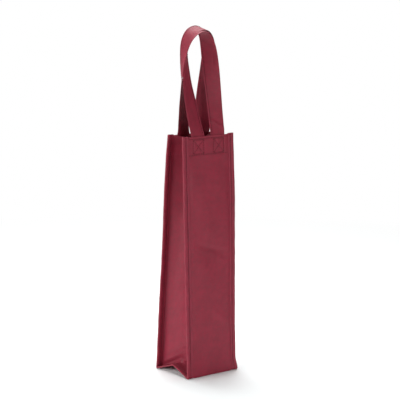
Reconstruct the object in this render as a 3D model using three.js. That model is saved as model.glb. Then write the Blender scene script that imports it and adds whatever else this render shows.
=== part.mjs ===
// A one-bottle gift bag sewn from non-woven cloth. Units are millimetres, +Z is up.
// X runs across the front panel, the front panel faces -Y, and the origin is on the floor
// at the middle of the base. Every piece is a thin closed sheet, sewn ones 0.3 mm apart.
import * as THREE from 'three';
import { mergeVertices } from 'three/addons/utils/BufferGeometryUtils.js';

// Body
const HEM_TOP = 364; // floor to the hem's top edge
const TAPE_TOP = 365.5; // the binding tapes stand a little above the hem
const HALF_WIDTH = 47.35; // middle of the bag to the outer edge of a binding tape
const HALF_BASE = 39; // middle of the bag to a panel's middle plane at the floor
const MOUTH_FRONT = -27; // the panels' middle planes at the hem's top edge
const MOUTH_BACK = 10;
const HEM_DEPTH = 27; // cloth turned in round the mouth
const CLOTH = 0.6; // thickness of one cloth
const GAP = 0.3; // between two cloths that touch on the real bag
const HEM_EDGE = HEM_TOP - HEM_DEPTH - 1; // lower edge of the cloth turned in
const HEM_STEP = 0.5; // height over which the turned-in cloth starts

// Binding tape round each side seam, and the room inside it
const TAPE_WIDTH = 10;
const TAPE_CLOTH = 0.5;
const SEAM_OUTER = CLOTH / 2 + GAP + TAPE_CLOTH; // panel's middle plane to the tape's outer face
const SEAM_INNER = CLOTH / 2 + GAP + CLOTH + GAP + TAPE_CLOTH; // and to the tape's inner face
const PANEL_HALF = HALF_WIDTH - TAPE_CLOTH - GAP; // a panel's edge inside the tape

// Gussets and base
const GUSSET_X = 39; // the seam line that a gusset starts from
const GUSSET_IN_TOP = 27; // how far its middle folds in at the mouth
const GUSSET_IN_BASE = 4; // and at the floor
const GUSSET_DEEPENING = 1.2; // power of the height that its depth grows with
const GUSSET_ROUNDING = 1.6; // power that shapes it across: 1 is a sharp fold, 2 a round one
const GUSSET_COLUMNS = 11; // points across it
const GUSSET_ROWS = 9; // and up it, below the hem
const GUSSET_START = SEAM_INNER + GAP; // clear of the tape
const BASE_RISE = 13; // the base is creased upward along its middle
const BASE_CLEAR = 0.35; // the base's middle plane above the floor beside the panels
const TAPE_INSET = 2.8; // a base tape starts this far inside the panels' middle planes
const BASE_NOTCH = 0.6; // length of the slanted cut that clears a base tape

// Handles
const STRAP_WIDTH = 25;
const STRAP_CLOTH = 1.2; // a folded strap
const STRAP_OFFSET = CLOTH / 2 + CLOTH + GAP + STRAP_CLOTH / 2; // panel's plane to the strap's
const STRAP_TAIL = 25.5; // length sewn inside the hem
const ARCH_START = HEM_TOP + 1;
const ARCH_STATIONS = 17; // cross-sections along each leg

// Sewing thread
const THREAD = 0.5; // thickness of a stitch line
const THREAD_SIDE = 0.35; // half its width
const STRAP_STITCH = 10; // middle of the strap to its stitch line
const TAPE_STITCH = HALF_WIDTH - 6.2; // middle of the bag to the tapes' stitch line
const HEM_STITCH_TOP = HEM_TOP - 3;
const HEM_STITCH_LOW = HEM_TOP - HEM_DEPTH;
const SEAM_STITCH_FOOT = 4; // height that the tapes' stitches start at
const STITCH_STOP = 1; // a stitch line ends this far from an edge
const CROSS_WIDTH = 18.8; // the boxes of stitches that hold the straps
const CROSS_CLEAR = 1.5; // between a box and the hem's stitches
const ON_CLOTH = CLOTH / 2 + GAP; // a panel's middle plane to stitches that lie on it
const ON_TAPE = SEAM_OUTER + GAP; // and to stitches that lie on a tape

// Colours
const FRONT_CLOTH = '#7e3240';
const SIDE_CLOTH = '#8a3a49';
const TAPE_COLOUR = '#8e3c4c';
const STRAP_COLOUR = '#863544';
const THREAD_COLOUR = '#6a1f30';

const frontPlane = (z) => -HALF_BASE + ((HALF_BASE + MOUTH_FRONT) * z) / HEM_TOP;
const backPlane = (z) => HALF_BASE - ((HALF_BASE - MOUTH_BACK) * z) / HEM_TOP;
const FRONT = { plane: frontPlane, out: -1 };
const BACK = { plane: backPlane, out: 1 };
const baseHeight = (y) => BASE_CLEAR + BASE_RISE * (1 - Math.min(1, Math.abs(y) / HALF_BASE));
const baseInset = (y) => GUSSET_IN_BASE * (1 - Math.min(1, Math.abs(y) / HALF_BASE));
const range = (count) => Array.from({ length: count }, (_, i) => i);
const steps = (from, to, count) => range(count).map((i) => from + ((to - from) * i) / (count - 1));

const group = new THREE.Group();

function addMesh(name, geometry, color) {
  const material = new THREE.MeshStandardMaterial({ color, roughness: 0.85, metalness: 0 });
  const mesh = new THREE.Mesh(geometry, material);
  mesh.name = name;
  group.add(mesh);
}

// Joins triangles of points into one closed geometry whose faces point out.
function closedGeometry(triangles) {
  const [a, b, c] = [new THREE.Vector3(), new THREE.Vector3(), new THREE.Vector3()];
  const volume = triangles.reduce((sum, t) => {
    [a, b, c].forEach((corner, i) => corner.set(...t[i]));
    return sum + a.dot(b.cross(c));
  }, 0);
  const facing = volume < 0 ? triangles.map(([p, q, r]) => [p, r, q]) : triangles;
  const geometry = new THREE.BufferGeometry();
  geometry.setAttribute('position', new THREE.Float32BufferAttribute(facing.flat(2), 3));
  return mergeVertices(geometry, 1e-4);
}

// A closed sheet between two faces. Each face is rows of points, [row][column].
function sheet(outer, inner) {
  const triangles = [];
  const quad = (a, b, c, d) => triangles.push([a, b, c], [a, c, d]);
  const [rows, columns] = [outer.length - 1, outer[0].length - 1];
  for (const i of range(rows)) {
    for (const j of range(columns)) {
      quad(outer[i][j], outer[i][j + 1], outer[i + 1][j + 1], outer[i + 1][j]);
      triangles.push([inner[i][j], inner[i + 1][j + 1], inner[i][j + 1]]);
      triangles.push([inner[i][j], inner[i + 1][j], inner[i + 1][j + 1]]);
    }
    quad(outer[i][0], outer[i + 1][0], inner[i + 1][0], inner[i][0]);
    quad(outer[i + 1][columns], outer[i][columns], inner[i][columns], inner[i + 1][columns]);
  }
  for (const j of range(columns)) {
    quad(outer[0][j + 1], outer[0][j], inner[0][j], inner[0][j + 1]);
    quad(outer[rows][j], outer[rows][j + 1], inner[rows][j + 1], inner[rows][j]);
  }
  return closedGeometry(triangles);
}

// A flat panel with its hem turned in: rows of [height, inner thickness].
function panel({ plane, out }) {
  const inside = CLOTH / 2;
  const rows = [[0, inside], [HEM_EDGE, inside],
    [HEM_EDGE + HEM_STEP, inside + CLOTH], [HEM_TOP, inside + CLOTH]];
  const face = (offset) => rows.map(([z, thick]) =>
    [-PANEL_HALF, PANEL_HALF].map((x) => [x, plane(z) + out * offset(thick), z]));
  return sheet(face(() => CLOTH / 2), face((thick) => -thick));
}

// The base, creased up along its middle, with its corners cut back inside the tapes.
function basePanel() {
  const reach = HALF_BASE - CLOTH / 2 - GAP;
  const notch = HALF_WIDTH - TAPE_WIDTH - GAP;
  const wide = (y) => PANEL_HALF - baseInset(y);
  const ends = [[reach, notch], [HALF_BASE - TAPE_INSET + BASE_NOTCH, notch],
    [HALF_BASE - TAPE_INSET, wide(HALF_BASE - TAPE_INSET)]];
  const rows = [...ends.map(([y, x]) => [-y, x]), [0, wide(0)],
    ...ends.map(([y, x]) => [y, x]).reverse()];
  const face = (offset) => rows.map(([y, x]) =>
    [[-x, y, baseHeight(y) + offset], [x, y, baseHeight(y) + offset]]);
  return sheet(face(CLOTH / 2), face(-CLOTH / 2));
}

// A side gusset: a soft inward fold, deep at the mouth and shallow at the base.
function gusset(side) {
  const across = steps(-1, 1, GUSSET_COLUMNS);
  const deepening = GUSSET_IN_TOP - GUSSET_IN_BASE;
  const depth = (z) => GUSSET_IN_BASE + deepening * (z / HEM_TOP) ** GUSSET_DEEPENING;
  const hemStart = HEM_EDGE / HEM_TOP;
  const up = [...steps(0, hemStart, GUSSET_ROWS), (HEM_EDGE + HEM_STEP) / HEM_TOP, 1];
  const face = (inward) => up.map((t, row) => across.map((v) => {
    const hem = row >= GUSSET_ROWS ? CLOTH : 0;
    const foot = baseHeight(v * (HALF_BASE - GUSSET_START)) + SEAM_INNER + GAP;
    const z = foot + (HEM_TOP - foot) * t;
    const [from, to] = [frontPlane(z) + GUSSET_START, backPlane(z) - GUSSET_START];
    const x = GUSSET_X - depth(z) * (1 - Math.abs(v) ** GUSSET_ROUNDING);
    const shift = inward > 0 ? inward + hem : inward;
    return [side * (x - shift), (from + to) / 2 + (v * (to - from)) / 2, z];
  }));
  return sheet(face(-CLOTH / 2), face(CLOTH / 2));
}

// The two faces of a tape folded over a seam, as [across, out] points from its inner lip round.
const TAPE_FOLD = {
  outer: [[HALF_WIDTH - TAPE_WIDTH, SEAM_OUTER], [HALF_WIDTH, SEAM_OUTER],
    [HALF_WIDTH, -SEAM_INNER], [HALF_WIDTH - TAPE_WIDTH, -SEAM_INNER]],
  inner: [[HALF_WIDTH - TAPE_WIDTH, SEAM_OUTER - TAPE_CLOTH],
    [HALF_WIDTH - TAPE_CLOTH, SEAM_OUTER - TAPE_CLOTH],
    [HALF_WIDTH - TAPE_CLOTH, TAPE_CLOTH - SEAM_INNER],
    [HALF_WIDTH - TAPE_WIDTH, TAPE_CLOTH - SEAM_INNER]],
};

function uprightTape(side, { plane, out }) {
  const face = (fold) => [0, TAPE_TOP].map((z) =>
    fold.map(([across, away]) => [side * across, plane(z) + out * away, z]));
  return sheet(face(TAPE_FOLD.outer), face(TAPE_FOLD.inner));
}

function baseTape(side) {
  const end = HALF_BASE - TAPE_INSET;
  const face = (fold) => [-end, 0, end].map((y) =>
    fold.map(([across, away]) => [side * (across - baseInset(y)), y, baseHeight(y) - away]));
  return sheet(face(TAPE_FOLD.outer), face(TAPE_FOLD.inner));
}

// A strap's free arch, as two legs that rise from the feet, lean and meet at the crest. Each leg
// is a Bezier curve, and its band turns from facing the front at the foot to level at the crest.
const FRONT_ARCH = {
  foot: [18.4, MOUTH_FRONT + STRAP_OFFSET, ARCH_START],
  rise: [12.2, 39.3, 125],
  crest: [-1.5, -9.2, 516.9],
  reach: [15.8, 0],
  turned: [-0.125, 0.97],
  tilt: -0.12,
};
const BACK_ARCH = {
  foot: [17, MOUTH_BACK - STRAP_OFFSET, ARCH_START],
  rise: [-2.7, 2.4, 45.4],
  crest: [-1.2, -3.3, 522.2],
  reach: [50, 5],
  turned: [-0.35, 1],
  tilt: 0.16,
};

function legCurve(arch, side) {
  const [x, y, z] = arch.foot;
  const [dx, dy, dz] = arch.rise;
  const crest = new THREE.Vector3(...arch.crest);
  const [across, up] = arch.reach;
  return new THREE.CubicBezierCurve3(new THREE.Vector3(side * x, y, z),
    new THREE.Vector3(side * (x + dx), y + dy, z + dz),
    crest.clone().add(new THREE.Vector3(side * across, 0, side * up)), crest);
}

// One station of a strap: its middle, the direction across the band and the way out of the arch.
function strapStation(arch, side, t) {
  const curve = legCurve(arch, side);
  const along = curve.getTangent(t);
  const turn = THREE.MathUtils.smoothstep(t, ...arch.turned) * (Math.PI / 2);
  const across = new THREE.Vector3(side * Math.cos(turn),
    -Math.sin(turn) * Math.cos(arch.tilt), -Math.sin(turn) * Math.sin(arch.tilt));
  across.addScaledVector(along, -across.dot(along)).normalize();
  const outward = along.clone().cross(across).multiplyScalar(side);
  return { middle: curve.getPoint(t), across, outward };
}

function strapStations(arch, count) {
  const up = steps(0, 1, count);
  const leftLeg = up.map((t) => strapStation(arch, -1, t));
  const rightLeg = up.slice(0, -1).map((t) => strapStation(arch, 1, t));
  return [...leftLeg, ...rightLeg.reverse()];
}

// A point of the band, no lower than the level line where the free arch starts.
function bandPoint({ middle, across, outward }, width, away) {
  const point = middle.clone().addScaledVector(across, width).addScaledVector(outward, away);
  return [point.x, point.y, Math.max(point.z, ARCH_START)];
}

function strapArch(arch) {
  const face = (away) => strapStations(arch, ARCH_STATIONS).map((station) =>
    [-STRAP_WIDTH / 2, STRAP_WIDTH / 2].map((w) => bandPoint(station, w, away)));
  return sheet(face(STRAP_CLOTH / 2), face(-STRAP_CLOTH / 2));
}

// The line of stitches that closes the folded strap, near the edge that is inside at the feet.
function strapThread(arch, away) {
  const run = strapStations(arch, ARCH_STATIONS).slice(1, -1);
  const face = (lift) => run.map((station) => [-THREAD_SIDE, THREAD_SIDE].map((w) =>
    bandPoint(station, w - STRAP_STITCH, away * (STRAP_CLOTH / 2 + GAP + lift))));
  return sheet(face(THREAD), face(0));
}

function strapEnd(arch, { plane, out }, side) {
  const middle = side * arch.foot[0];
  const face = (away) => [HEM_TOP - STRAP_TAIL, ARCH_START - GAP].map((z) =>
    [-1, 1].map((w) => [middle + (w * STRAP_WIDTH) / 2,
      plane(z) - out * (STRAP_OFFSET - away), z]));
  return sheet(face(STRAP_CLOTH / 2), face(-STRAP_CLOTH / 2));
}

// A straight run of stitches from one [x, z] to another, lying on a panel or a tape.
function stitchLine(from, to, { plane, out }, clear) {
  const [dx, dz] = [to[0] - from[0], to[1] - from[1]];
  const length = Math.hypot(dx, dz);
  const [sideX, sideZ] = [(-dz / length) * THREAD_SIDE, (dx / length) * THREAD_SIDE];
  const face = (away) => [from, to].map(([x, z]) => [-1, 1].map((w) => {
    const height = z + w * sideZ;
    return [x + w * sideX, plane(height) + out * (clear + away), height];
  }));
  return sheet(face(THREAD), face(0));
}

// A triangle drawn in by a distance, as a hole between stitch lines.
function insetTriangle(corners, distance) {
  const [a, b, c] = corners;
  const [toA, toB, toC] = [b.distanceTo(c), c.distanceTo(a), a.distanceTo(b)];
  const round = toA + toB + toC;
  const middle = new THREE.Vector2().addScaledVector(a, toA / round)
    .addScaledVector(b, toB / round).addScaledVector(c, toC / round);
  const radius = Math.abs(b.clone().sub(a).cross(c.clone().sub(a))) / round;
  return new THREE.Path(corners.map((p) => p.clone().lerp(middle, distance / radius)));
}

// The box of stitches with a cross in it that holds a strap's end.
function crossStitch(middle, { plane, out }) {
  const [half, low, high] = [CROSS_WIDTH / 2,
    HEM_STITCH_LOW + CROSS_CLEAR, HEM_STITCH_TOP - CROSS_CLEAR];
  const tall = (high - low) / 2;
  const box = (grow) => [[-1, -1], [1, -1], [1, 1], [-1, 1]].map(([u, v]) =>
    new THREE.Vector2(u * (half + grow), v * (tall + grow)));
  const shape = new THREE.Shape(box(THREAD_SIDE));
  const corners = box(0);
  shape.holes = corners.map((corner, i) =>
    insetTriangle([corner, corners[(i + 1) % 4], new THREE.Vector2()], THREAD_SIDE));
  const stitches = new THREE.ExtrudeGeometry(shape, { depth: THREAD, bevelEnabled: false });
  const centre = (low + high) / 2;
  const up = new THREE.Vector3(0, plane(high) - plane(low), high - low).normalize();
  const across = new THREE.Vector3(-out, 0, 0);
  const away = across.clone().cross(up);
  const place = new THREE.Vector3(middle, plane(centre) + out * ON_CLOTH, centre);
  stitches.applyMatrix4(new THREE.Matrix4().makeBasis(across, up, away).setPosition(place));
  return stitches;
}

// Each panel, its arch, and the side of the strap that its stitch line lies on.
const PANELS = [['front', FRONT, FRONT_ARCH, -1], ['back', BACK, BACK_ARCH, 1]];
const SIDES = [['left', -1], ['right', 1]];
for (const [name, face, arch, shown] of PANELS) {
  addMesh(`${name}_panel`, panel(face), FRONT_CLOTH);
  addMesh(`${name}_handle`, strapArch(arch), STRAP_COLOUR);
  addMesh(`${name}_handle_thread`, strapThread(arch, shown), THREAD_COLOUR);
  const hem = HALF_WIDTH - TAPE_WIDTH - STITCH_STOP;
  for (const [line, z] of [['upper', HEM_STITCH_TOP], ['lower', HEM_STITCH_LOW]]) {
    const run = stitchLine([-hem, z], [hem, z], face, ON_CLOTH);
    addMesh(`${name}_${line}_hem_thread`, run, THREAD_COLOUR);
  }
  for (const [sideName, side] of SIDES) {
    addMesh(`${name}_${sideName}_binding`, uprightTape(side, face), TAPE_COLOUR);
    addMesh(`${name}_${sideName}_strap_end`, strapEnd(arch, face, side), STRAP_COLOUR);
    const x = side * TAPE_STITCH;
    const seam = stitchLine([x, SEAM_STITCH_FOOT], [x, TAPE_TOP - STITCH_STOP], face, ON_TAPE);
    addMesh(`${name}_${sideName}_seam_thread`, seam, THREAD_COLOUR);
    const cross = crossStitch(side * arch.foot[0], face);
    addMesh(`${name}_${sideName}_cross_thread`, cross, THREAD_COLOUR);
  }
}
addMesh('base_panel', basePanel(), FRONT_CLOTH);
for (const [name, side] of SIDES) {
  addMesh(`${name}_gusset`, gusset(side), SIDE_CLOTH);
  addMesh(`base_${name}_binding`, baseTape(side), TAPE_COLOUR);
}

export default group;
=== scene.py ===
"""A one-bottle gift bag sewn from non-woven cloth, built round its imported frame.

Metres, +Z up. X runs across the front panel, which faces -Y. Every piece of cloth is a thin closed
shell made from a grid of points on its own middle surface, and each stitch is a short piece of
thread that lies on that surface.
"""
import math
import random

import bpy
import numpy as np
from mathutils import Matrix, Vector


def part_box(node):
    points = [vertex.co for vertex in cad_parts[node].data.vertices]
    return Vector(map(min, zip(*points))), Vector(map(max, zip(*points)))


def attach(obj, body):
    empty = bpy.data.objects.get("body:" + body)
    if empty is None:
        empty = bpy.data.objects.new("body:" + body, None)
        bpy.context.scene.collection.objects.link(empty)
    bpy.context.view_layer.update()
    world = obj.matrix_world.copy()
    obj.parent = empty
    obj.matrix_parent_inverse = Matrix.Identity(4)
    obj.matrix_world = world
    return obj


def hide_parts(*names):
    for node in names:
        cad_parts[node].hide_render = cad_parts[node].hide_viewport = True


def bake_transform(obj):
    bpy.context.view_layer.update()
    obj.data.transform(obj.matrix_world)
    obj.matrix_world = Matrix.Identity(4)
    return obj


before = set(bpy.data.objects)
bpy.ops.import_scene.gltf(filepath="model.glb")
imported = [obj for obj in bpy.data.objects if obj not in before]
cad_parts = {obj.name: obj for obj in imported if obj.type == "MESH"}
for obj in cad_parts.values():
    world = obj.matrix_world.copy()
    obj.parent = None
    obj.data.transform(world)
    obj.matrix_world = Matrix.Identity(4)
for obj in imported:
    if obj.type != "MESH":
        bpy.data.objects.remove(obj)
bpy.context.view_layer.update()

MM = 0.001

# Cloth, tape and thread
CLOTH = 0.45 * MM
TAPE_CLOTH = 0.4 * MM
STRAP_PLY = 0.45 * MM  # one of the two layers of a folded strap
FRAME_CLOTH = 0.6 * MM  # the cloth's thickness in the frame
THREAD_RADIUS = 0.37 * MM
STITCH = 2.5 * MM
STITCH_PITCH = 3.1 * MM
HEM_GAP = 0.1 * MM  # between the cloth and the part of it that is turned in
WORN_REACH = 1.2 * MM  # how far wear spreads in from a cut edge
SHARP_ANGLE = math.radians(50)  # faces that meet at more than this aren't shaded as one surface

# Body, read from the frame: the panels' middle planes at the floor and at the mouth
front_low, front_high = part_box("front_panel")
back_low, back_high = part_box("back_panel")
HEM_TOP = front_high.z
PANEL_HALF = front_high.x
FRONT_FOOT = front_low.y + FRAME_CLOTH / 2
FRONT_MOUTH = front_high.y - 1.5 * FRAME_CLOTH
BACK_FOOT = back_high.y - FRAME_CLOTH / 2
BACK_MOUTH = back_low.y + 1.5 * FRAME_CLOTH
HALF_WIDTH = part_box("front_right_binding")[1].x
TAPE_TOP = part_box("front_right_binding")[1].z
BASE_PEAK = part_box("base_panel")[1].z - FRAME_CLOTH / 2
HEM_DEPTH = 27 * MM
HEM_LOW = HEM_TOP - HEM_DEPTH
HEM_STITCHES = (HEM_TOP - 3 * MM, HEM_LOW)
PANEL_FREE = 37 * MM  # half a panel's width between its tapes, where it can bulge
FOLD_FOOT = -0.15 * MM  # the sharp corner between a panel and the base, before it is rounded
FOLD_RADIUS = 0.8 * MM
FIN_LIFT = 1.05 * MM  # the fold stands this much higher where the tapes run under it
PEAK_RADIUS = 4 * MM
BASE_TUCK = 4 * MM  # how far the base's middle pulls the side seams in

# Seams and gussets
TAPE_WIDTH = 10 * MM
TAPE_STITCH = 6.2 * MM  # from a seam's outer edge to its line of stitches
FLAP_OFFSET = 0.6 * MM  # a panel's middle plane to the gusset's flap inside the seam
FLAP_WIDTH = 9.3 * MM
GUSSET_ROOT = HALF_WIDTH - TAPE_WIDTH - 1.2 * MM
GUSSET_DEPTH = 25.5 * MM  # how far the gusset folds in at the mouth
GUSSET_POWER = 1.2  # power of the height that the fold deepens with
GUSSET_ROUND = 1.6  # power that shapes the fold across: 1 is sharp, 2 is round
GUSSET_HALF = 37 * MM  # about half the side's depth at the floor
TUCK_POCKET = 11 * MM  # how far the lower front corner folds in
TUCK_CREASE_LOW = 8 * MM  # height of the crease above it at the back seam
TUCK_CREASE_MIDDLE = 28.5 * MM  # and at the side's middle, from where it climbs on as steeply
MOUTH_SAG = 7 * MM  # how far the middle of a gusset's top edge hangs below the hem
SEAM_TURN = (0.3 * MM, 2.2 * MM)  # the gusset turns out into the seam between these distances

# Straps
STRAP_TAIL = 25.5 * MM
STRAP_OFFSET = 1.6 * MM
STRAP_STITCH = -10 * MM  # across the strap, on the side that is inside at the feet
CROSS_HALF = 9.4 * MM
CROSS_LOW = HEM_LOW + 1.6 * MM
CROSS_HIGH = HEM_STITCHES[0] - 1.6 * MM

FRONT = {"name": "front", "out": -1, "foot": FRONT_FOOT, "mouth": FRONT_MOUTH, "body": "front"}
BACK = {"name": "back", "out": 1, "foot": BACK_FOOT, "mouth": BACK_MOUTH, "body": "bag_body"}

# How far the side seams lean in or out of line, at the foot, waist, chest, shoulder and belly
SEAM_FLARE = 0.5 * MM
SEAM_WAIST = 3.0 * MM
SEAM_CHEST = 1.1 * MM
SEAM_SHOULDER = 1.3 * MM
SEAM_BELLY = 1.0 * MM
CORNER_DROP = 0.4 * MM

# Seeds of the cloth's unevenness; a side's or a panel's own number is added to some of them
SEEDS = {"base": 5, "panel": 11, "panel_fine": 31, "gusset": 41, "gusset_fine": 51, "pucker": 71,
         "tape_puff": 81, "tape_swell": 91, "tape_wander": 101, "front_strap": 200, "back_strap": 300}

# A strap's free arch, in millimetres: two legs that rise from the feet, lean, turn and meet at the crest.
FRONT_ARCH = {
    "feet": {-1: (-17.8, FRONT_MOUTH / MM + 1.6, 365), 1: (19.2, FRONT_MOUTH / MM + 1.6, 365)},
    "rise": (12.2, 39.3, 125),
    "crest": (-1.5, -9.2, 517.3),
    "reach": {-1: (17.5, 0), 1: (17.0, 0)},
    "turned": {-1: (-0.125, 0.97, 0), 1: (-0.125, 0.97, 0)},
    "tilt": -0.06,
    "kink": 0.5,
}
BACK_ARCH = {
    "feet": {-1: (-19.6, BACK_MOUTH / MM - 1.6, 365), 1: (15.4, BACK_MOUTH / MM - 1.6, 365)},
    "rise": (-2.7, 2.4, 45.4),
    "crest": (1.4, -3.3, 522.2),
    "reach": {-1: (46, 2.5), 1: (40, 3.5)},
    "turned": {-1: (-0.04, 0.88, 0.14), 1: (-0.35, 1, 0)},
    "tilt": 0.2,
    "kink": 0.1,
}


def smoothstep(value, start=0.0, end=1.0):
    t = np.clip((value - start) / (end - start), 0, 1)
    return t * t * (3 - 2 * t)


def bump(value, centre, width):
    return np.exp(-(((value - centre) / width) ** 2))


def waves(seed, u, v, length, count=7):
    """Soft unevenness from about -1 to 1, with humps about `length` apart."""
    draw = random.Random(seed)
    total = 0
    for _ in range(count):
        angle = draw.uniform(0, math.pi)
        turns = 2 * math.pi * draw.uniform(0.6, 1.5) / length
        phase = draw.uniform(0, 2 * math.pi)
        total = total + np.sin(turns * (u * math.cos(angle) + v * math.sin(angle)) + phase)
    return total / math.sqrt(2 * count)


def settle(points):
    """The filled-out stance of the whole body: each side seam leans in or out along its height."""
    x, y, z = (points[..., i] for i in range(3))
    front = np.clip((plane(BACK, z) - y) / (plane(BACK, z) - plane(FRONT, z)), 0, 1)
    flare = SEAM_FLARE * smoothstep(z, 14 * MM, 0)
    waist = -SEAM_WAIST * smoothstep(z, 3 * MM, 22 * MM) * smoothstep(z, 235 * MM, 45 * MM)
    chest = SEAM_CHEST * bump(z, 278 * MM, 40 * MM)
    shoulder = SEAM_SHOULDER * smoothstep(z, 364 * MM, 330 * MM)
    belly = shoulder + SEAM_BELLY * smoothstep(z, 190 * MM, 100 * MM)
    right = front * (flare + waist + chest) + (1 - front) * (flare + 0.4 * belly)
    left = front * 0.6 * flare + (1 - front) * (flare + belly + 0.7 * chest)
    reach = x / HALF_WIDTH
    moved = points.copy()
    moved[..., 0] = x + np.where(x > 0, right, left) * reach
    corner = smoothstep(np.abs(x), 45 * MM, 47.3 * MM) * smoothstep(z, 9 * MM, 0)
    moved[..., 2] = z - CORNER_DROP * corner
    return moved


def plane(face, z):
    return face["foot"] + (face["mouth"] - face["foot"]) * z / HEM_TOP


def base_height(y):
    return FOLD_FOOT + (BASE_PEAK - FOLD_FOOT) * (1 - np.minimum(1, np.abs(y) / BACK_FOOT))


def base_tuck(y):
    return BASE_TUCK * (1 - np.minimum(1, np.abs(y) / BACK_FOOT)) ** 1.2


# --- Meshes -----------------------------------------------------------------------------------


def unit(vectors):
    return vectors / np.maximum(np.linalg.norm(vectors, axis=-1, keepdims=True), 1e-12)


def grid_normals(grid):
    return unit(np.cross(np.gradient(grid, axis=1), np.gradient(grid, axis=0)))


def running_length(points):
    steps = np.linalg.norm(np.diff(points, axis=0), axis=1)
    return np.concatenate([[0], np.cumsum(steps)])


def new_object(name, points, faces, uvs=None, worn=None):
    mesh = bpy.data.meshes.new(name)
    mesh.from_pydata(points.reshape(-1, 3).tolist(), [], faces)
    if uvs is not None:
        layer = mesh.uv_layers.new(name="cloth")
        corners = np.zeros(len(mesh.loops), np.int32)
        mesh.loops.foreach_get("vertex_index", corners)
        layer.data.foreach_set("uv", uvs.reshape(-1, 2)[corners].astype(np.float32).ravel())
    if worn is not None:
        attribute = mesh.attributes.new("worn", "FLOAT", "POINT")
        attribute.data.foreach_set("value", worn.astype(np.float32).ravel())
    mesh.validate()
    mesh.shade_smooth()
    mesh.set_sharp_from_angle(angle=SHARP_ANGLE)
    piece = bpy.data.objects.new(name, mesh)
    bpy.context.scene.collection.objects.link(piece)
    return piece


def middle_area(middle):
    """The area of one side of the cloth."""
    across = np.diff(middle, axis=1)[:-1]
    along = np.diff(middle, axis=0)[:, :-1]
    return float(np.linalg.norm(np.cross(across, along), axis=-1).sum())


def shell(name, middle, thickness):
    """A closed sheet either side of a grid of middle points, [row][column]."""
    rows, columns = middle.shape[:2]
    normals = grid_normals(middle)
    points = np.stack([middle + normals * thickness / 2, middle - normals * thickness / 2])
    index = np.arange(2 * rows * columns).reshape(2, rows, columns)
    top, low = index
    corners = [top[:-1, :-1], top[:-1, 1:], top[1:, 1:], top[1:, :-1]]
    under = [low[:-1, :-1], low[1:, :-1], low[1:, 1:], low[:-1, 1:]]
    quads = [np.stack(c, -1).reshape(-1, 4) for c in (corners, under)]
    for side in (index[:, 0, :], index[:, -1, ::-1], index[:, ::-1, 0].copy(), index[:, :, -1]):
        quads.append(np.stack([side[0, 1:], side[0, :-1], side[1, :-1], side[1, 1:]], -1))
    faces = np.concatenate(quads).tolist()
    across = running_length(middle[rows // 2])
    along = running_length(middle[:, columns // 2])
    uvs = np.stack(np.meshgrid(across, along), -1)
    from_end = np.minimum(along, along[-1] - along)
    from_side = np.minimum(across, across[-1] - across)
    worn = np.exp(-np.minimum.outer(from_end, from_side) / WORN_REACH)
    piece = new_object(name, points, faces, np.stack([uvs, uvs]), np.stack([worn, worn]))
    piece["flat_length"] = float(along[-1])
    piece["flat_width"] = middle_area(middle) / piece["flat_length"]  # its mean width, if it tapers
    return piece


def turn_in(grid, depth):
    """Adds a hem past the last row: over the edge and back down the inside by `depth`."""
    normals = grid_normals(grid)
    across = CLOTH + HEM_GAP
    along = running_length(grid[:, grid.shape[1] // 2])
    doubled = along > along[-1] - depth
    inside = grid[doubled][::-1] - normals[doubled][::-1] * across
    edge = grid[-1]
    up = unit(grid[-1] - grid[-2])
    arc = [edge - normals[-1] * across / 2 * (1 - math.cos(a)) + up * across / 2 * math.sin(a)
           for a in np.radians([36, 72, 108, 144])]
    return np.concatenate([grid, arc, inside])


def rounded(corners, radii, pieces=10):
    """A run of straight lines in a plane whose inner corners are rounded."""
    points = [np.array(corners[0], float)]
    for before, corner, after, radius in zip(corners, corners[1:], corners[2:], radii):
        before, corner, after = (np.array(p, float) for p in (before, corner, after))
        back, on = unit(before - corner), unit(after - corner)
        half = math.acos(np.clip(back @ on, -1, 1)) / 2
        centre = corner + unit(back + on) * radius / math.sin(half)
        start = corner + back * radius / math.tan(half)
        end = corner + on * radius / math.tan(half)
        for t in np.linspace(0, 1, pieces):
            point = start + (end - start) * t
            points.append(centre + unit(point - centre) * radius)
    points.append(np.array(corners[-1], float))
    return np.array(points)


def along_route(points, distance):
    reach = running_length(points)
    return np.stack([np.interp(distance, reach, column) for column in points.T], -1)


def graded(stops):
    """Distances from stop to stop, each stretch with its own step: [(from, step), ..., (to, _)]."""
    parts = []
    for (start, step), (end, _) in zip(stops, stops[1:]):
        count = max(1, round((end - start) / step))
        parts.append(np.linspace(start, end, count, endpoint=False))
    return np.concatenate(parts + [[stops[-1][0]]])


# --- The cloth's unevenness ---------------------------------------------------------------------

# Heights on the front panel, from the floor up
FRONT_LOW_FOLD = 89 * MM
FRONT_LOW_BULGE = 95 * MM
FRONT_BELLY = 165 * MM
FRONT_FOLD = 183 * MM
FRONT_CREASE = 195 * MM
FRONT_KNUCKLE = 216 * MM
FRONT_BULGE_FOOT = (185 * MM, 235 * MM)  # the main bulge swells over the first pair of heights
FRONT_BULGE_TOP = (290 * MM, 335 * MM)  # and dies out over the second

# and on the back panel
BACK_BELLY = 115 * MM
BACK_CREASE = 188 * MM
BACK_DISH_FOOT = (60 * MM, 160 * MM)
BACK_DISH_TOP = (260 * MM, 335 * MM)

QUILTING_DEPTH = 0.38 * MM  # how deep the stitches pull the cloth in
QUILTING_WIDTH = 0.9 * MM


def cross_lines(face):
    """The ends of the stitched lines that hold the straps, as (x, z) pairs."""
    arch = FRONT_ARCH if face is FRONT else BACK_ARCH
    lines = []
    for side in (-1, 1):
        left, right = (arch["feet"][side][0] * MM + w * CROSS_HALF for w in (-1, 1))
        corners = [(left, CROSS_LOW), (right, CROSS_LOW), (right, CROSS_HIGH), (left, CROSS_HIGH)]
        lines += [(a, b) for a, b in zip(corners, corners[1:] + corners[:1])]
        lines += [(corners[0], corners[2]), (corners[1], corners[3])]
    return lines


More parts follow.
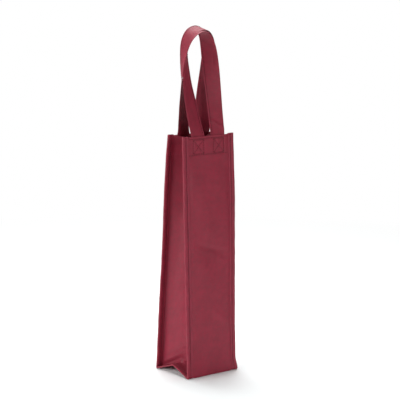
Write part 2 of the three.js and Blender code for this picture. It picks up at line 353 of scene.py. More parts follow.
def line_distance(x, z, start, end):
    (ax, az), (bx, bz) = start, end
    t = np.clip(((x - ax) * (bx - ax) + (z - az) * (bz - az)) / ((bx - ax) ** 2 + (bz - az) ** 2), 0, 1)
    return np.hypot(x - ax - t * (bx - ax), z - az - t * (bz - az))


def quilting(face, x, z):
    """The cloth pulled down along the hem's stitches and the straps' crosses."""
    near = np.minimum(*(np.abs(z - height) for height in HEM_STITCHES))
    for start, end in cross_lines(face):
        near = np.minimum(near, line_distance(x, z, start, end))
    pucker = waves(SEEDS["pucker"] + face["out"], x, z * 0.3, 6 * MM) * bump(near, 0, 3.5 * MM)
    groove = -QUILTING_DEPTH * np.exp(-near / QUILTING_WIDTH) + 0.12 * MM * pucker
    return groove * smoothstep(z, HEM_LOW - 9 * MM, HEM_LOW - 2 * MM)


def front_relief(x, z):
    """The front panel bulges between its seams, above a slanting crease at half height."""
    across = x / PANEL_FREE
    upper = smoothstep(z, *FRONT_BULGE_FOOT) * (1 - smoothstep(z, *FRONT_BULGE_TOP))
    bulge = 2.2 * MM * (1 - np.abs(across) ** 2.6) * (1 + 0.3 * across)
    knuckle = 1.3 * MM * bump(x, -4 * MM, 12 * MM) * bump(z, FRONT_KNUCKLE, 13 * MM)
    crease = -0.9 * MM * bump(z, FRONT_CREASE - 0.28 * x, 4 * MM)
    crease = crease * smoothstep(x, -36 * MM, -15 * MM)
    fold = bump(z, FRONT_FOLD - 0.35 * (x - 21 * MM), 4 * MM)
    fold = -0.9 * MM * bump(x, 21 * MM, 11 * MM) * fold
    belly = 1.3 * MM * bump(x, -17 * MM, 15 * MM) * bump(z, FRONT_BELLY, 24 * MM)
    low_fold = 0.7 * MM * bump(z, FRONT_LOW_FOLD - 0.8 * (x - 15 * MM), 7 * MM)
    low_fold = low_fold * smoothstep(x, -6 * MM, 12 * MM)
    low = 1.2 * MM * (1 - across**2) * bump(z, FRONT_LOW_BULGE, 60 * MM)
    return bulge * upper + knuckle + crease + fold + belly + low_fold + low


def back_relief(x, z):
    """The back panel sags in a little, with one slanting crease."""
    dish = -1.5 * MM * (1 - np.clip(x / PANEL_FREE, -1, 1) ** 2)
    upper = smoothstep(z, *BACK_DISH_FOOT) * (1 - smoothstep(z, *BACK_DISH_TOP))
    crease = -0.8 * MM * bump(z, BACK_CREASE + 0.3 * x, 6 * MM)
    belly = 0.9 * MM * bump(x, 8 * MM, 22 * MM) * bump(z, BACK_BELLY, 35 * MM)
    return dish * upper + crease + belly


def panel_relief(face, x, z):
    free = smoothstep(np.abs(x), 38.5 * MM, 31 * MM) * smoothstep(z, 3 * MM, 20 * MM)
    own = front_relief(x, z) if face is FRONT else back_relief(x, z)
    soft = 0.6 * MM * waves(SEEDS["panel"] + face["out"], x, z * 0.7, 55 * MM)
    fine = 0.12 * MM * waves(SEEDS["panel_fine"] + face["out"], x, z, 17 * MM)
    return free * (own + soft + fine) + quilting(face, x, z)


def panel_point(face, x, z, lift=0.0):
    out = face["out"]
    y = plane(face, z) + out * (panel_relief(face, x, z) + lift)
    x, y, z = np.broadcast_arrays(x, y, z)
    return np.stack([x, y, z], -1)


# --- Body strip -----------------------------------------------------------------------------------


def side_route(top, lift=0.0):
    """The side seam's line in Y and Z: down the back, along the base and up the front."""
    foot = FOLD_FOOT + lift
    corners = [(plane(BACK, top), top), (BACK_FOOT, foot), (0, BASE_PEAK + 0.3 * lift),
               (FRONT_FOOT, foot), (plane(FRONT, top), top)]
    return rounded(corners, [FOLD_RADIUS, PEAK_RADIUS, FOLD_RADIUS])


def route_frame(route, distance):
    """Places on the route and the direction out of the bag there, in Y and Z."""
    place = along_route(route, distance)
    step = 0.25 * MM
    ahead = along_route(route, distance + step) - along_route(route, distance - step)
    ahead = unit(ahead)
    return place, np.stack([-ahead[..., 1], ahead[..., 0]], -1)


def body_strip():
    route = side_route(HEM_TOP)
    total = running_length(route)[-1]
    hem = HEM_DEPTH + 4 * MM
    panel_end = (total - 80 * MM) / 2
    back_corner, front_corner = panel_end - 2 * MM, total - panel_end + 2 * MM
    coarse, fine, hem_step = 2.6 * MM, 0.8 * MM, 0.9 * MM
    rows = graded([(0, hem_step), (hem, coarse), (back_corner, fine), (back_corner + 5 * MM, coarse),
                   (front_corner - 5 * MM, fine), (front_corner, coarse), (total - hem, hem_step),
                   (total, 1)])
    columns = np.linspace(-1, 1, 105)
    place, out = route_frame(route, rows)
    on_back = rows < total * 0.46
    on_front = rows > total * 0.54
    on_base = smoothstep(rows, panel_end - 6 * MM, panel_end + 8 * MM)
    on_base *= smoothstep(rows, total - panel_end + 6 * MM, total - panel_end - 8 * MM)
    half = PANEL_HALF - base_tuck(place[:, 0]) * on_base
    x = half[:, None] * columns
    fin = smoothstep(np.abs(x), 32 * MM, 38 * MM) * smoothstep(place[:, 1:2], 16 * MM, 4 * MM)
    z = place[:, 1:2] + FIN_LIFT * fin
    relief = np.where(on_back[:, None], panel_relief(BACK, x, z), 0)
    relief = np.where(on_front[:, None], panel_relief(FRONT, x, z), relief)
    relief = relief * (1 - on_base[:, None])
    unevenness = waves(SEEDS["base"], x, place[:, :1], 40 * MM) * (1 - columns**4)
    relief += on_base[:, None] * 0.3 * MM * unevenness
    grid = np.stack([x, place[:, :1] + out[:, :1] * relief, z + out[:, 1:2] * relief], -1)
    grid = turn_in(grid, HEM_DEPTH)
    grid = turn_in(grid[::-1, ::-1], HEM_DEPTH)
    return shell("body_strip", settle(grid), CLOTH)


# --- Gussets --------------------------------------------------------------------------------------


def flare(edge):
    """How far a gusset turns out into the seam's fin, `edge` away from the fin's plane."""
    flat, turn = SEAM_TURN
    radius = turn - flat
    rounding = radius - np.sqrt(np.maximum(radius**2 - (np.clip(edge, flat, turn) - turn) ** 2, 0))
    return np.where(edge < flat, FLAP_WIDTH - (FLAP_WIDTH - radius) * edge / flat, rounding)


def gusset_tuck(y, z, side_edge, foot_edge):
    """The lower front corner folds in under a crease that climbs from the base's middle."""
    forward = np.clip(-y / GUSSET_HALF, -0.4, 1)
    below = (16 + 15 * forward) * MM - z
    pocket = np.clip(below, 0, TUCK_POCKET) * smoothstep(forward, -0.05, 0.35)
    pocket = np.minimum(pocket, np.minimum(2.2 * side_edge, 1.8 * foot_edge))
    climb = TUCK_CREASE_MIDDLE - TUCK_CREASE_LOW
    crease_height = TUCK_CREASE_LOW + climb * (1 + np.clip(-y / GUSSET_HALF, -1, 1))
    slack = 2.6 * MM * smoothstep(z, crease_height + 2 * MM, crease_height - 12 * MM)
    ridge = -1.6 * MM * bump(z, crease_height + 2 * MM, 5 * MM)
    held = smoothstep(np.minimum(side_edge, foot_edge), 0, 8 * MM)
    return pocket + (slack + ridge) * held


def gusset_grid(side, rows, columns):
    """A gusset's middle surface: rows are from 0 at the base to 1 at the mouth, columns -1 to 1."""
    v = columns[None, :]
    t = rows[:, None]
    base_y = v * (BACK_FOOT - FLAP_OFFSET)
    corner = np.clip(1 - (1 - np.abs(v)) * BACK_FOOT / (3.5 * MM), 0, 1)
    foot = base_height(base_y) + FIN_LIFT + FLAP_OFFSET + 0.6 * MM * corner**2
    sag = MOUTH_SAG * (1 - np.abs(v)) * smoothstep(t, 0.5, 1)
    z = foot + (HEM_TOP - sag - foot) * t
    start = plane(FRONT, z) + FLAP_OFFSET
    end = plane(BACK, z) - FLAP_OFFSET
    y = (start + end) / 2 + v * (end - start) / 2
    side_edge = (1 - np.abs(v)) * (end - start) / 2
    foot_edge = (z - foot) + 0 * v
    height = np.clip(z / HEM_TOP, 0, 1)
    depth = BASE_TUCK + (GUSSET_DEPTH - BASE_TUCK) * height**GUSSET_POWER
    fold = depth * (1 - np.abs(v) ** GUSSET_ROUND)
    fold = fold - 0.5 * MM * bump(side_edge, 7 * MM, 5 * MM) * smoothstep(z, 330 * MM, 200 * MM)
    near = np.minimum(side_edge, foot_edge)
    free = smoothstep(near, 1 * MM, 12 * MM)
    soft = 0.8 * MM * waves(SEEDS["gusset"] + side, y, z * 0.6, 60 * MM)
    fine = 0.2 * MM * waves(SEEDS["gusset_fine"] + side, y, z, 20 * MM)
    soft = free * (soft + fine)
    x = GUSSET_ROOT - fold - gusset_tuck(y, z, side_edge, foot_edge) + flare(near) + soft
    near_hem = np.minimum(*(np.abs(t * HEM_TOP - h) for h in HEM_STITCHES))
    x = x - 0.25 * MM * np.exp(-near_hem / (0.8 * MM))
    return np.stack([side * x, y, z + 0 * v], -1)


def gusset_columns():
    """Columns from the front seam to the back seam, close together where the cloth turns."""
    ends = np.array([0, 0.15, 0.3, 0.45, 0.65, 0.9, 1.2, 1.6, 2.2, 3.0, 4.0, 5.4]) / 38
    inner = np.linspace(-1 + 7 / 38, 1 - 7 / 38, 39)
    return np.concatenate([-1 + ends, inner, (1 - ends)[::-1]])


def gusset(name, side):
    ends = np.array([0, 0.15, 0.3, 0.45, 0.65, 0.9, 1.2, 1.6, 2.2, 3.0]) * MM / HEM_TOP
    hem = (HEM_LOW - 2 * MM) / HEM_TOP
    rest = graded([(4 * MM / HEM_TOP, 0.0035), (0.14, 0.007), (hem, 0.0025), (1, 1)])
    rows = np.concatenate([ends, rest])
    grid = gusset_grid(side, rows, gusset_columns()[::-side])
    return shell(name, settle(turn_in(grid, HEM_DEPTH)), CLOTH)


# --- Binding tapes --------------------------------------------------------------------------------

# The tape's middle from its lip on the outer face, round the edge, to its lip on the gusset's side:
# (distance in from the seam's edge, distance out of the bag) in millimetres.
TAPE_FOLD = [(10, 0.55), (8.3, 0.9), (TAPE_STITCH / MM, 0.48), (4, 1.05), (2, 1.15), (0.6, 0.8),
             (0.2, -0.3), (0.6, -1.4), (2, -1.75), (4, -1.6), (TAPE_STITCH / MM, -1.1), (8.3, -1.35),
             (10, -1.15)]
TAPE_PRESSED = (-1.1 * MM, 0.48 * MM)  # where the tape lies when it is pressed flat on the cloth


def tape_fold(samples=4):
    """The fold as a smooth run of points."""
    points = np.array(TAPE_FOLD) * MM
    ends = np.concatenate([[2 * points[0] - points[1]], points, [2 * points[-1] - points[-2]]])
    run = []
    for i in range(1, len(points)):
        a, b, c, d = ends[i - 1:i + 3]
        for t in np.linspace(0, 1, samples, endpoint=False):
            run.append(0.5 * (2 * b + (c - a) * t + (2 * a - 5 * b + 4 * c - d) * t * t
                              + (3 * b - 3 * c + d - a) * t**3))
    return np.array(run + [points[-1]])


def tape_points(side, route, distance, inward, away):
    """Points on a seam's tape: `inward` from its outer edge and `away` from the panel."""
    place, out = route_frame(route, distance)
    low = smoothstep(place[:, 1], 20 * MM, 2 * MM)
    edge = HALF_WIDTH - base_tuck(place[:, 0]) * (np.abs(place[:, 0]) < BACK_FOOT) * low
    x = side * (edge[:, None] - inward)
    y = place[:, :1] + out[:, :1] * away
    z = place[:, 1:2] + out[:, 1:2] * away
    return np.stack(np.broadcast_arrays(x, y, z), -1)


def edge_tape(name, side):
    route = side_route(TAPE_TOP, FIN_LIFT)
    total = running_length(route)[-1]
    distance = np.linspace(0, total, round(total / (1.5 * MM)))
    fold = tape_fold()
    inward, away = fold[None, :, 0], fold[None, :, 1]
    s = distance[:, None]
    puff = 0.16 * waves(SEEDS["tape_puff"] + side, s, away * 4, 11 * MM)
    swell = 0.10 * waves(SEEDS["tape_swell"] + side, s, away, 45 * MM)
    hold = np.clip(np.abs(inward - TAPE_STITCH) / (3 * MM), 0, 1)
    place = along_route(route, distance)
    upright = smoothstep(place[:, 1:2], 4 * MM, 24 * MM)
    pressed = np.clip(away, *TAPE_PRESSED)
    full = pressed + (away - pressed) * (1 + (puff + swell) * hold * 2.5) * (0.25 + 0.75 * upright)
    unsewn = smoothstep(np.abs(inward - TAPE_STITCH), 0, 3 * MM)
    wander = 0.22 * MM * waves(SEEDS["tape_wander"] + side, s, 0 * away, 30 * MM) * unsewn
    grid = tape_points(side, route, distance, inward + wander, full)
    if side > 0:
        grid = grid[:, ::-1]
    return shell(name, settle(grid), TAPE_CLOTH)


# --- Straps ---------------------------------------------------------------------------------------


def bezier(points, t):
    a, b, c, d = (np.array(p, float) for p in points)
    t = t[:, None]
    return a * (1 - t) ** 3 + 3 * b * t * (1 - t) ** 2 + 3 * c * t**2 * (1 - t) + d * t**3


def arch_leg(arch, side, count):
    """Middle points and directions across the band, from a foot to the crest."""
    x, y, z = arch["feet"][side]
    dx, dy, dz = arch["rise"]
    crest = np.array(arch["crest"], float)
    across, up = arch["reach"][side]
    t = np.linspace(0, 1, count)
    start, rise = (x, y, z), (x + side * dx, y + dy, z + dz)
    reach = crest + np.array([side * across, 0, side * up])
    middle = bezier([start, rise, reach, crest], t) * MM
    begin, end, turned = arch["turned"][side]
    turn = (turned + (1 - turned) * smoothstep(t, begin, end)) * math.pi / 2
    tilt = arch["tilt"]
    band = [side * np.cos(turn), -np.sin(turn) * math.cos(tilt), -np.sin(turn) * math.sin(tilt)]
    band = np.stack(band, -1)
    return middle, band


def soften(values, weights, rounds):
    """Averages each row with its neighbours, as much as its weight says."""
    for _ in range(rounds):
        mean = values.copy()
        mean[1:-1] = (values[:-2] + 2 * values[1:-1] + values[2:]) / 4
        values = values + (mean - values) * weights[:, None]
    return values


def strap_line(face, arch):
    """A whole strap: its middle line, the direction across it and the way out of its arch."""
    legs = []
    for side in (-1, 1):
        heights = np.arange(HEM_TOP - STRAP_TAIL, HEM_TOP - 1 * MM, 1.5 * MM)
        sewn = np.stack([np.full_like(heights, arch["feet"][side][0] * MM),
                         plane(face, heights) - face["out"] * STRAP_OFFSET, heights], -1)
        middle, band = arch_leg(arch, side, 110)
        middle = np.concatenate([sewn, middle])
        band = np.concatenate([np.tile([side, 0.0, 0.0], (len(sewn), 1)), band])
        legs.append((middle, band))
    middle = np.concatenate([legs[0][0], legs[1][0][-2::-1]])
    band = np.concatenate([legs[0][1], legs[1][1][-2::-1]])
    distance = running_length(middle)
    even = np.linspace(0, distance[-1], round(distance[-1] / (1.8 * MM)))
    middle = np.stack([np.interp(even, distance, c) for c in middle.T], -1)
    band = np.stack([np.interp(even, distance, c) for c in band.T], -1)
    free = smoothstep(middle[:, 2], HEM_TOP - 4 * MM, HEM_TOP + 1 * MM)
    bend = free * (1 - 0.8 * smoothstep(middle[:, 2], HEM_TOP + 14 * MM, HEM_TOP + 26 * MM))
    middle, band = soften(middle, bend, 14), soften(band, bend, 14)
    ahead = unit(np.gradient(middle, axis=0))
    band = unit(band - ahead * np.sum(band * ahead, 1, keepdims=True))
    outward = np.cross(band, ahead)
    return even, middle, band, outward


# The folded strap's middle from one raw edge, round the fold, to the other raw edge, in millimetres.
STRAP_FOLD = [(-12.5, -0.36), (-11.3, -0.36), (-10, -0.29), (-8.6, -0.36), (-5, -0.42), (0, -0.44),
              (5, -0.43), (9, -0.38), (11, -0.34), (12, -0.27), (12.25, 0), (12, 0.27), (11, 0.34),
              (9, 0.38), (5, 0.43), (0, 0.44), (-5, 0.42), (-8.6, 0.36), (-10, 0.29), (-11.3, 0.36),
              (-12.5, 0.36)]


def strap_relief(seed, distance, total, across, kinked):
    """Waves along the strap, small puckers at its stitches and a crease where a leg bends."""
    free = smoothstep(distance, 40 * MM, 60 * MM) * smoothstep(total - distance, 40 * MM, 60 * MM)
    soft = 0.5 * MM * waves(seed, distance, across * 0.8, 55 * MM) * free
    pucker = 0.10 * MM * waves(seed + 1, distance, 0 * across, 7 * MM) * bump(across, STRAP_STITCH, 4 * MM)
    from_end = total - distance
    crease = 42 * MM - 0.56 * across
    kink = -0.8 * MM * bump(from_end, crease, 2.4 * MM) + 0.4 * MM * bump(from_end, crease + 6 * MM, 5 * MM)
    return soft + pucker + kinked * kink


def strap_point(line, seed, across, away, kinked):
    """Points on a strap at every station, `across` from its middle and `away` from its middle face."""
    distance, middle, band, outward = line
    relief = strap_relief(seed, distance[:, None], distance[-1], across, kinked)
    lift = away + relief
    return middle[:, None] + band[:, None] * across[..., None] + outward[:, None] * lift[..., None]


def strap(name, line, seed, kinked):
    fold = np.array(STRAP_FOLD) * MM
    fold = along_route(fold, np.linspace(0, running_length(fold)[-1], 61))
    across = np.broadcast_to(fold[:, 0], (len(line[0]), len(fold)))
    away = np.broadcast_to(fold[:, 1], across.shape)
    return shell(name, strap_point(line, seed, across, away, kinked), STRAP_PLY)


# --- Stitches -------------------------------------------------------------------------------------


def stitch_places(points, normals):
    """Cuts a line on the cloth into stitches: their middles, directions and normals."""
    distance = running_length(points)
    count = max(1, int(distance[-1] / STITCH_PITCH))
    middles = (np.arange(count) + 0.5) * distance[-1] / count

    def pick(values, at):
        return np.stack([np.interp(at, distance, column) for column in values.T], -1)

    middle = pick(points, middles)
    ahead = unit(pick(points, middles + 0.5 * MM) - pick(points, middles - 0.5 * MM))
    up = pick(normals, middles)
    up = unit(up - ahead * np.sum(up * ahead, 1, keepdims=True))
    return middle, ahead, up


STITCH_RINGS = [(-0.5, 0.35, -0.9), (-0.44, 0.8, -0.1), (-0.25, 1.0, 0.55), (0, 1.0, 0.7),
                (0.25, 1.0, 0.55), (0.44, 0.8, -0.1), (0.5, 0.35, -0.9)]
STITCH_SIDES = 7


def stitches(name, lines):
    """One mesh of short threads along lines on the cloth, each sunk into it at both ends."""
    found = [stitch_places(points, normals) for points, normals in lines]
    middle, ahead, up = (np.concatenate(parts) for parts in zip(*found))
    draw = np.random.default_rng(len(middle))
    ahead = unit(ahead + draw.normal(0, 0.05, ahead.shape))
    side = np.cross(ahead, up)
    turns = np.arange(STITCH_SIDES) * 2 * math.pi / STITCH_SIDES
    rings = []
    for place, size, lift in STITCH_RINGS:
        centre = middle + ahead * place * STITCH + up * lift * THREAD_RADIUS
        for turn in turns:
            reach = side * math.cos(turn) + up * math.sin(turn)
            rings.append(centre + reach * size * THREAD_RADIUS)
    points = np.stack(rings, 1)
    each = len(STITCH_RINGS) * STITCH_SIDES
    faces = []
    for start in range(0, len(middle) * each, each):
        for ring in range(len(STITCH_RINGS) - 1):
            low = start + ring * STITCH_SIDES
            for i in range(STITCH_SIDES):
                j = (i + 1) % STITCH_SIDES
                faces.append((low + i, low + j, low + STITCH_SIDES + j, low + STITCH_SIDES + i))
        faces.append(tuple(range(start, start + STITCH_SIDES))[::-1])
        faces.append(tuple(range(start + each - STITCH_SIDES, start + each)))
    return new_object(name, points, faces)


def panel_line(face, start, end, lift=CLOTH / 2):
    """A straight line of points on a panel's outer face from one (x, z) to another."""
    count = 40
    x, z = (np.linspace(a, b, count) for a, b in zip(start, end))
    normal = np.tile([0.0, face["out"], 0.0], (count, 1))
    return settle(panel_point(face, x, z, lift)), normal


def hem_lines(face):
    reach = HALF_WIDTH - TAPE_WIDTH - 0.8 * MM
    outside = [panel_line(face, (-reach, z), (reach, z)) for z in HEM_STITCHES]
    inside = []
    for z in HEM_STITCHES:
        points, normal = panel_line(face, (-reach, z), (reach, z), lift=-1.5 * CLOTH - HEM_GAP)
        inside.append((points, -normal))
    return outside + inside


def gusset_lines(side):
    lines = []
    columns = np.linspace(-0.86, 0.86, 90)
    for height in HEM_STITCHES:
        rows = np.array([height - 1 * MM, height, height + 1 * MM]) / HEM_TOP
        grid = gusset_grid(side, rows, columns[::-side])
        normals = grid_normals(grid)[1]
        lines.append((settle(grid[1] + normals * CLOTH / 2), normals))
    return lines


def tape_lines(side):
    route = side_route(TAPE_TOP, FIN_LIFT)
    total = running_length(route)[-1]
    distance = np.linspace(1 * MM, total - 1 * MM, round(total / (1.0 * MM)))
    _, out = route_frame(route, distance)
    normal = np.stack([0 * distance, out[:, 0], out[:, 1]], -1)
    inward = np.full((len(distance), 1), TAPE_STITCH)
    lines = []
    for away, way in ((0.48 * MM + TAPE_CLOTH / 2, 1), (-1.1 * MM - TAPE_CLOTH / 2, -1)):
        points = tape_points(side, route, distance, inward, np.full_like(inward, away))[:, 0]
        lines.append((settle(points), normal * way))
    return lines


def strap_lines(line, seed, kinked):
    distance, _, _, outward = line
    free = (distance > STRAP_TAIL + 3 * MM) & (distance < distance[-1] - STRAP_TAIL - 3 * MM)
    lines = []
    for way in (-1, 1):
        across = np.full((len(distance), 1), STRAP_STITCH)
        away = np.full_like(across, way * (0.29 * MM + STRAP_PLY / 2))
        points = strap_point(line, seed, across, away, kinked)[:, 0]
        lines.append((points[free], way * outward[free]))
    return lines


# --- Materials ------------------------------------------------------------------------------------


class Nodes:
    """A material's node tree, with short ways to add the nodes that cloth needs."""

    def __init__(self, name):
        self.material = bpy.data.materials.new(name)
        self.material.use_nodes = True
        self.tree = self.material.node_tree
        self.shader = self.tree.nodes["Principled BSDF"]

    def add(self, kind, inputs=None, **settings):
        node = self.tree.nodes.new("ShaderNode" + kind)
        for key, value in settings.items():
            setattr(node, key, value)
        for key, value in (inputs or {}).items():
            self.put(node.inputs[key], value)
        return node

    def put(self, socket, value):
        if isinstance(value, bpy.types.NodeSocket):
            self.tree.links.new(value, socket)
        else:
            socket.default_value = value

    def math(self, operation, a, b=0.0):
        return self.add("Math", {0: a, 1: b}, operation=operation).outputs[0]

    def noise(self, place, scale, detail=2.0, stretch=(1, 1, 1)):
        moved = self.add("Mapping", {"Vector": place, "Scale": stretch}).outputs[0]
        return self.add("TexNoise", {"Vector": moved, "Scale": scale, "Detail": detail}).outputs["Fac"]

    def span(self, value, low, high, start, end):
        """Maps low..high to start..end."""
        inputs = {"Value": value, "From Min": low, "From Max": high, "To Min": start, "To Max": end}
        return self.add("MapRange", inputs).outputs[0]

    def mix(self, factor, a, b):
        node = self.add("Mix", data_type="RGBA", clamp_factor=True)
        self.put(node.inputs[0], factor)
        self.put(node.inputs[6], a)
        self.put(node.inputs[7], b)
        return node.outputs[2]

    def tint(self, colour, factor):
        """The colour made lighter or darker by a factor."""
        node = self.add("Mix", data_type="RGBA", blend_type="MULTIPLY")
        grey = self.add("CombineColor", {0: factor, 1: factor, 2: factor}).outputs[0]
        self.put(node.inputs[0], 1.0)
        self.put(node.inputs[6], colour)
        self.put(node.inputs[7], grey)
        return node.outputs[2]


def bond_points(nodes, place, pitch):
    """The small oval dots that weld the fibres together, in a diamond pattern: 1 inside a dot."""
    parts = nodes.add("SeparateXYZ", {0: place}).outputs
    across = nodes.math("DIVIDE", parts[0], pitch)
    along = nodes.math("DIVIDE", parts[1], pitch)
    masks = []
    for shift in (0.0, 0.5):
        u = nodes.math("SUBTRACT", nodes.math("FRACT", nodes.math("ADD", across, shift)), 0.5)
        v = nodes.math("SUBTRACT", nodes.math("FRACT", nodes.math("ADD", along, shift)), 0.5)
        wide = nodes.math("MULTIPLY", u, 0.75)
        squares = (nodes.math("MULTIPLY", wide, wide), nodes.math("MULTIPLY", v, v))
        far = nodes.math("SQRT", nodes.math("ADD", *squares))
        masks.append(nodes.span(far, 0.13, 0.2, 1.0, 0.0))
    return nodes.math("MAXIMUM", *masks)


def cloth_material(name, colour, worn_colour, grain=1.0, sheen=0.06):
    """Spunbond cloth: matted fibres, welded dots, cloudy thin and thick spots and paler worn edges."""
    nodes = Nodes(name)
    place = nodes.add("UVMap", uv_map="cloth").outputs[0]
    cloud = nodes.noise(place, 38, 3)
    mottle = nodes.noise(place, 330, 4)
    fibre_a = nodes.noise(place, 900, 2, (1, 0.14, 1))
    fibre_b = nodes.noise(place, 900, 2, (0.16, 1, 1))
    fibres = nodes.math("MAXIMUM", fibre_a, fibre_b)
    dots = bond_points(nodes, place, DOT_PITCH)
    patch = nodes.noise(place, 120, 3)
    shade = nodes.span(cloud, 0.3, 0.7, 0.92, 1.08)
    shade = nodes.math("MULTIPLY", shade, nodes.span(mottle, 0.3, 0.7, 0.88, 1.12))
    shade = nodes.math("MULTIPLY", shade, nodes.span(patch, 0.3, 0.7, 0.92, 1.08))
    shade = nodes.math("MULTIPLY", shade, nodes.span(fibres, 0.4, 0.75, 0.96, 1.06))
    shade = nodes.math("MULTIPLY", shade, nodes.span(dots, 0, 1, 1.0, 0.93))
    worn = nodes.add("Attribute", attribute_name="worn", attribute_type="GEOMETRY").outputs["Fac"]
    fuzz = nodes.math("MULTIPLY", worn, nodes.span(mottle, 0.35, 0.6, 0.12, 0.35))
    base = nodes.mix(fuzz, colour, worn_colour)
    nodes.put(nodes.shader.inputs["Base Color"], nodes.tint(base, shade))
    rough = nodes.span(mottle, 0.3, 0.7, 0.62, 0.76)
    rough = nodes.math("SUBTRACT", rough, nodes.math("MULTIPLY", dots, 0.12))
    nodes.put(nodes.shader.inputs["Roughness"], rough)
    height = nodes.math("ADD", nodes.math("MULTIPLY", fibres, 0.5), nodes.math("MULTIPLY", mottle, 0.9))
    height = nodes.math("SUBTRACT", height, nodes.math("MULTIPLY", dots, 0.35))
    relief = nodes.add("Bump", {"Height": height, "Distance": 0.09 * MM * grain, "Strength": 0.8})
    nodes.put(nodes.shader.inputs["Normal"], relief.outputs[0])
    nodes.shader.inputs["Sheen Weight"].default_value = sheen
    nodes.shader.inputs["Sheen Roughness"].default_value = 0.45
    nodes.shader.inputs["Sheen Tint"].default_value = (1.0, 0.72, 0.76, 1.0)
    nodes.shader.inputs["Specular IOR Level"].default_value = 0.5
    return nodes.material


def thread_material(name, colour):
    """Twisted thread: fine slanting plies, whose light and shade are painted into its colour as stripes."""
    nodes = Nodes(name)
    place = nodes.add("TexCoord").outputs["Object"]
    plies = nodes.add("TexWave", {"Vector": place, "Scale": 900.0, "Distortion": 1.5}).outputs["Fac"]
    spots = nodes.noise(place, 400, 2)
    # painted highlight and shade: the plies' stripes lighten and darken the thread's colour
    shade = nodes.span(plies, 0, 1, 0.75, 1.15)
    shade = nodes.math("MULTIPLY", shade, nodes.span(spots, 0.3, 0.7, 0.85, 1.1))
    nodes.put(nodes.shader.inputs["Base Color"], nodes.tint(colour, shade))
    nodes.put(nodes.shader.inputs["Roughness"], nodes.span(spots, 0.3, 0.7, 0.55, 0.7))
    nodes.shader.inputs["Specular IOR Level"].default_value = 0.25
    relief = nodes.add("Bump", {"Height": plies, "Distance": 0.05 * MM, "Strength": 0.7})
    nodes.put(nodes.shader.inputs["Normal"], relief.outputs[0])
    return nodes.material


def floor_material(near, far):
    """A pale studio floor that brightens into the white surround between two distances."""
    nodes = Nodes("studio_floor")
    place = nodes.add("TexCoord").outputs["Object"]
    spots = nodes.noise(place, 3, 2)
    distance = nodes.add("VectorMath", {0: place}, operation="LENGTH").outputs["Value"]
    fade = nodes.span(distance, near, far, 0.0, 1.0)
    pale = nodes.tint(FLOOR_TINT, nodes.span(spots, 0, 1, 0.99, 1.01))
    nodes.put(nodes.shader.inputs["Base Color"], nodes.mix(fade, pale, (0.0, 0.0, 0.0, 1.0)))
    nodes.shader.inputs["Emission Color"].default_value = (1.0, 1.0, 1.0, 1.0)
    nodes.put(nodes.shader.inputs["Emission Strength"], fade)
    nodes.shader.inputs["Roughness"].default_value = 0.9
    nodes.shader.inputs["Specular IOR Level"].default_value = 0.0
    return nodes.material


DOT_PITCH = 1.5 * MM  # between the cloth's welded dots
PANEL_RED = (0.215, 0.0030, 0.0215, 1.0)
SIDE_RED = (0.215, 0.0028, 0.0215, 1.0)
TAPE_RED = (0.215, 0.0040, 0.023, 1.0)
STRAP_RED = (0.215, 0.0035, 0.022, 1.0)
WORN_RED = (0.33, 0.03, 0.065, 1.0)
# The thread is dyed like the cloth; here it is made much darker as painted shade of the needle holes and
# grooves it lies in.
THREAD_RED_WITH_PAINTED_SHADE = (0.06, 0.0008, 0.006, 1.0)


def finish_piece(piece, material, nodes):
    piece.data.materials.append(material)
    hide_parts(*nodes)
    return piece


# --- Camera, light and floor ----------------------------------------------------------------------


CAMERA_LENS = 132.84
CAMERA_PLACE = (-1.311, -1.762, 0.647)
CAMERA_TURN = (math.radians(80.1), 0, -math.radians(36.76))
LIT_POINT = (0, 0, 0.25)  # about the middle of the bag, which every light faces
LIGHTS = [  # name, place, size and power in watts
    ("top_light", (0.2, 0.555, 1.68), (1.2, 1.3), 40),
    ("left_light", (-1.79, 0.16, 0.65), (1.2, 1.2), 30.5),
    ("fill_light", (-0.1, -2.6, 0.75), (1.2, 1.0), 33),
]
FLOOR_HALF = 1.4
FLOOR_LEVEL = -0.2 * MM
FLOOR_FADE = (0.5, 1.3)  # from here to here the floor brightens into the white surround
FLOOR_TINT = (0.93, 0.965, 0.965, 1.0)


def aim(thing, target):
    thing.rotation_euler = (Vector(target) - thing.location).to_track_quat("-Z", "Y").to_euler()


def studio_camera():
    camera = bpy.data.cameras.new("studio_camera")
    camera.sensor_width = 36
    camera.lens = CAMERA_LENS
    eye = bpy.data.objects.new("studio_camera", camera)
    eye.location = CAMERA_PLACE
    eye.rotation_euler = CAMERA_TURN
    bpy.context.scene.collection.objects.link(eye)
    bpy.context.scene.camera = eye


def area_light(name, place, size, power):
    light = bpy.data.lights.new(name, "AREA")
    light.shape = "RECTANGLE"
    light.size, light.size_y = size
    light.energy = power
    lamp = bpy.data.objects.new(name, light)
    lamp.location = place
    bpy.context.scene.collection.objects.link(lamp)
    aim(lamp, LIT_POINT)


def studio_world(shown, given):
    """A white surround: `shown` is how bright it looks and `given` how much light it gives."""
    world = bpy.data.worlds.new("studio")
    world.use_nodes = True
    tree = world.node_tree
    back = tree.nodes["Background"]
    back.inputs["Color"].default_value = (1, 1, 1, 1)
    path = tree.nodes.new("ShaderNodeLightPath")
    level = tree.nodes.new("ShaderNodeMapRange")
    level.inputs["To Min"].default_value = given
    level.inputs["To Max"].default_value = shown
    tree.links.new(path.outputs["Is Camera Ray"], level.inputs["Value"])
    tree.links.new(level.outputs[0], back.inputs["Strength"])
    bpy.context.scene.world = world


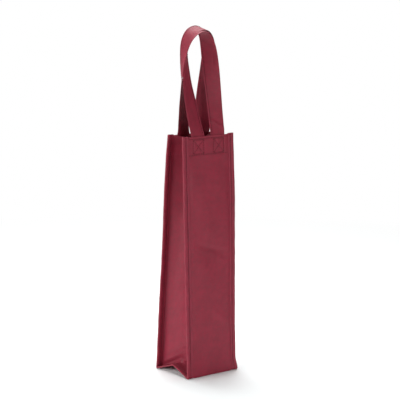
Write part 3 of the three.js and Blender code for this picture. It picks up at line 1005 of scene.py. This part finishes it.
def studio_floor():
    """A level sheet round the bag that fades into the white surround."""
    count = 15
    line = np.linspace(-FLOOR_HALF, FLOOR_HALF, count)
    x, y = np.meshgrid(line, line)
    points = np.stack([x, y, np.full_like(x, FLOOR_LEVEL)], -1)
    index = np.arange(count * count).reshape(count, count)
    faces = np.stack([index[:-1, :-1], index[:-1, 1:], index[1:, 1:], index[1:, :-1]], -1)
    floor = new_object("studio_floor", points, faces.reshape(-1, 4).tolist())
    floor.data.materials.append(floor_material(*FLOOR_FADE))


# --- Build ----------------------------------------------------------------------------------------

studio_camera()
studio_world(shown=1.0, given=0.06)
for light in LIGHTS:
    area_light(*light)
studio_floor()
bpy.context.scene.view_settings.view_transform = "Standard"

panel_cloth = cloth_material("panel_cloth", PANEL_RED, WORN_RED)
gusset_cloth = cloth_material("gusset_cloth", SIDE_RED, WORN_RED)
tape_cloth = cloth_material("binding_tape", TAPE_RED, WORN_RED, grain=1.2, sheen=0.08)
strap_cloth = cloth_material("strap_cloth", STRAP_RED, WORN_RED, sheen=0.08)
thread = thread_material("thread", THREAD_RED_WITH_PAINTED_SHADE)

strip = body_strip()
strip_nodes = ["front_panel", "back_panel", "base_panel"]
finish_piece(strip, panel_cloth, strip_nodes)
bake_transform(strip)

for name, side in (("left", -1), ("right", 1)):
    cloth = gusset(f"{name}_gusset_cloth", side)
    finish_piece(cloth, gusset_cloth, [f"{name}_gusset"])
    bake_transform(cloth)

    tape = edge_tape(f"{name}_edge_tape", side)
    held = [f"{end}_{name}_binding" for end in ("front", "base", "back")]
    finish_piece(tape, tape_cloth, held)
    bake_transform(tape)

    seam = stitches(f"{name}_seam_stitches", tape_lines(side))
    finish_piece(seam, thread, [f"front_{name}_seam_thread", f"back_{name}_seam_thread"])
    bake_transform(seam)

    run = stitches(f"{name}_gusset_stitches", gusset_lines(side))
    finish_piece(run, thread, [])
    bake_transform(run)

for face, arch in ((FRONT, FRONT_ARCH), (BACK, BACK_ARCH)):
    name, body = face["name"], face["body"]
    seed = SEEDS[f"{name}_strap"]
    hem = stitches(f"{name}_hem_stitches", hem_lines(face))
    finish_piece(hem, thread, [f"{name}_upper_hem_thread", f"{name}_lower_hem_thread"])
    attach(hem, body)

    crosses = stitches(f"{name}_cross_stitches", [panel_line(face, *ends) for ends in cross_lines(face)])
    finish_piece(crosses, thread, [f"{name}_left_cross_thread", f"{name}_right_cross_thread"])
    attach(crosses, body)

    line = strap_line(face, arch)
    band = strap(f"{name}_strap", line, seed, arch["kink"])
    ends = [f"{name}_{where}_strap_end" for where in ("left", "right")]
    finish_piece(band, strap_cloth, [f"{name}_handle", *ends])
    run = stitches(f"{name}_strap_stitches", strap_lines(line, seed, arch["kink"]))
    finish_piece(run, thread, [f"{name}_handle_thread"])
    for piece in (band, run):
        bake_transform(piece)
